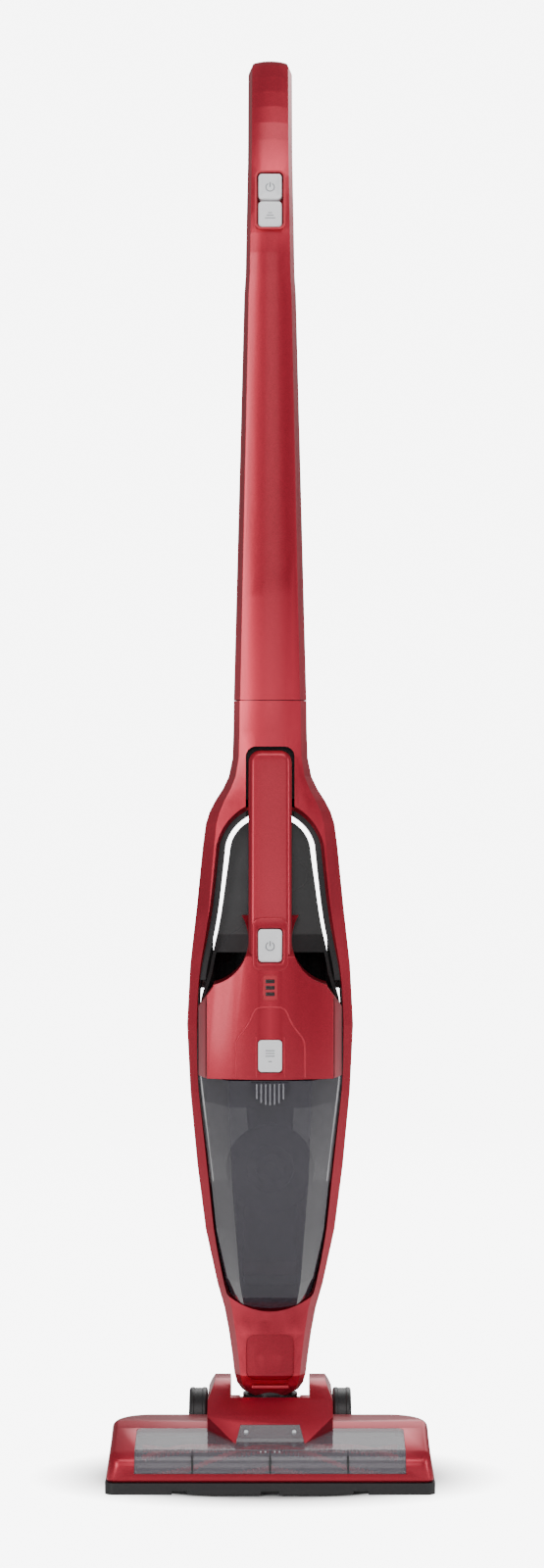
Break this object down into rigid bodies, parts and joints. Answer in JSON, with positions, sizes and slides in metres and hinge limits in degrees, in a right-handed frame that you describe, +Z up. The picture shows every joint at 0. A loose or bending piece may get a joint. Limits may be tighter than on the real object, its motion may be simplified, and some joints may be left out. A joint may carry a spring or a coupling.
{
  "type": "cordless stick vacuum",
  "caption": "Upright cordless vacuum cleaner with a lift-out hand unit, a clear dust cup and a wide floor nozzle with a turning brush.",
  "frame": {"origin": "on the floor, at the centre of the object's bounding box", "axes": "+Z up along the stick, front faces -Y, +X to the machine's left"},
  "size_m": [0.259, 0.164, 1.1519],
  "materials": {
    "red_shell": "satin metallic red lacquer on moulded plastic",
    "black_plastic": "fine satin grain",
    "soft_rubber": "matt",
    "silver_key": "pearl silver",
    "steel_part": "plain",
    "metal_can": "plated can",
    "smoked_clear": "clear smoked plastic",
    "clear_plastic": "clear plastic",
    "grey_plastic": "satin",
    "circuit_board": "solder mask",
    "filter_felt": "pleated felt",
    "red_bristle": "nylon bristle",
    "lamp_white": "diffusing"
  },
  "bodies": {
    "nozzle": {"nozzle_cover": "red_shell", "nozzle_window": "clear_plastic", "nozzle_base": "black_plastic", "brush_guard": "black_plastic", "brush_bearings": "black_plastic", "brush_motor": "metal_can", "drive_belt": "soft_rubber", "cradle": "red_shell", "headlight_lens": "clear_plastic", "headlight_leds": "lamp_white", "tilt_pins": "steel_part", "wheel_axles": "steel_part", "neck_hose": "soft_rubber", "nozzle_screws": "steel_part"},
    "neck": {"neck_knuckle": "black_plastic"},
    "frame": {"stick_front_shell": "red_shell", "switch_bezel": "red_shell", "grip_pad": "soft_rubber", "stick_rear_shell": "red_shell", "stick_switch_board": "circuit_board", "stick_spigot": "black_plastic", "stick_lead": "soft_rubber", "frame_front_shell": "red_shell", "frame_back_panel": "black_plastic", "back_panel_screws": "steel_part", "frame_rear_shell": "black_plastic", "handle_recess_liner": "black_plastic", "frame_air_duct": "black_plastic", "duct_seal": "soft_rubber"},
    "stick_power_key": {"stick_power_button": "silver_key"},
    "stick_level_key": {"stick_level_button": "silver_key"},
    "hand_unit": {"hand_hood": "red_shell", "battery_gauge": "lamp_white", "hand_rear_shell": "black_plastic", "exhaust_grille": "black_plastic", "hand_screws": "steel_part", "charge_socket": "steel_part", "battery_cells": "metal_can", "fan_motor": "metal_can", "motor_mount": "soft_rubber", "hand_control_board": "circuit_board"},
    "hand_power_key": {"hand_power_button": "silver_key"},
    "cup_release_key": {"cup_release_button": "silver_key"},
    "fan": {"impeller": "grey_plastic"},
    "cup": {"dust_cup": "smoked_clear", "filter_flange": "grey_plastic", "cup_seal": "soft_rubber", "filter_cage": "grey_plastic", "inner_filter": "filter_felt", "swirl_disc": "clear_plastic", "inlet_chute": "grey_plastic"},
    "brush_roll": {"brush_core": "grey_plastic", "brush_bristles": "red_bristle"},
    "brush_pinion": {"motor_pulley": "steel_part"},
    "wheel_left": {"wheel_hub_left": "black_plastic", "tyre_left": "soft_rubber"},
    "wheel_right": {"wheel_hub_right": "black_plastic", "tyre_right": "soft_rubber"},
    "roller_left": {"front_roller_left": "black_plastic"},
    "roller_right": {"front_roller_right": "black_plastic"}
  },
  "joints": [
    {"name": "neck_tilt", "type": "hinge", "parent": "nozzle", "child": "neck", "pos_m": [0, 0.02, 0.038], "axis": [-1, 0, 0], "range_deg": [0, 70]},
    {"name": "neck_swivel", "type": "hinge", "parent": "neck", "child": "frame", "pos_m": [0, 0.004, 0.07], "axis": [0, 0, 1], "range_deg": [-90, 90]},
    {"name": "hand_unit_pull", "type": "slide", "parent": "frame", "child": "hand_unit", "axis": [0, -1, 0], "range_m": [0, 0.14]},
    {"name": "dust_cup_release", "type": "slide", "parent": "hand_unit", "child": "cup", "axis": [0, -0.9976, -0.0698], "range_m": [0, 0.11]},
    {"name": "stick_power_press", "type": "slide", "parent": "frame", "child": "stick_power_key", "axis": [0, 0.9711, -0.2385], "range_m": [0, 0.0015], "stiffness_N_per_m": 600},
    {"name": "stick_level_press", "type": "slide", "parent": "frame", "child": "stick_level_key", "axis": [0, 0.9711, -0.2385], "range_m": [0, 0.0015], "stiffness_N_per_m": 600},
    {"name": "hand_power_press", "type": "slide", "parent": "hand_unit", "child": "hand_power_key", "axis": [0, 1, 0], "range_m": [0, 0.0015], "stiffness_N_per_m": 600},
    {"name": "cup_release_press", "type": "slide", "parent": "hand_unit", "child": "cup_release_key", "axis": [0, 1, 0], "range_m": [0, 0.0015], "stiffness_N_per_m": 600},
    {"name": "fan_spin", "type": "hinge", "parent": "hand_unit", "child": "fan", "pos_m": [0, -0.014, 0.345], "axis": [0, 0, 1], "continuous": true},
    {"name": "brush_spin", "type": "hinge", "parent": "nozzle", "child": "brush_roll", "pos_m": [0, -0.052, 0.0195], "axis": [1, 0, 0], "continuous": true},
    {"name": "pinion_spin", "type": "hinge", "parent": "nozzle", "child": "brush_pinion", "pos_m": [0.111, -0.008, 0.027], "axis": [1, 0, 0], "continuous": true},
    {"name": "wheel_left_spin", "type": "hinge", "parent": "nozzle", "child": "wheel_left", "pos_m": [0.0585, 0.0465, 0.0315], "axis": [1, 0, 0], "continuous": true},
    {"name": "wheel_right_spin", "type": "hinge", "parent": "nozzle", "child": "wheel_right", "pos_m": [-0.0585, 0.0465, 0.0315], "axis": [1, 0, 0], "continuous": true},
    {"name": "roller_left_spin", "type": "hinge", "parent": "nozzle", "child": "roller_left", "pos_m": [0.06, -0.075, 0.004], "axis": [1, 0, 0], "continuous": true},
    {"name": "roller_right_spin", "type": "hinge", "parent": "nozzle", "child": "roller_right", "pos_m": [-0.06, -0.075, 0.004], "axis": [1, 0, 0], "continuous": true}
  ],
  "couplings": [
    {"joint": "pinion_spin", "follows": "brush_spin", "ratio": 1.8333}
  ]
}
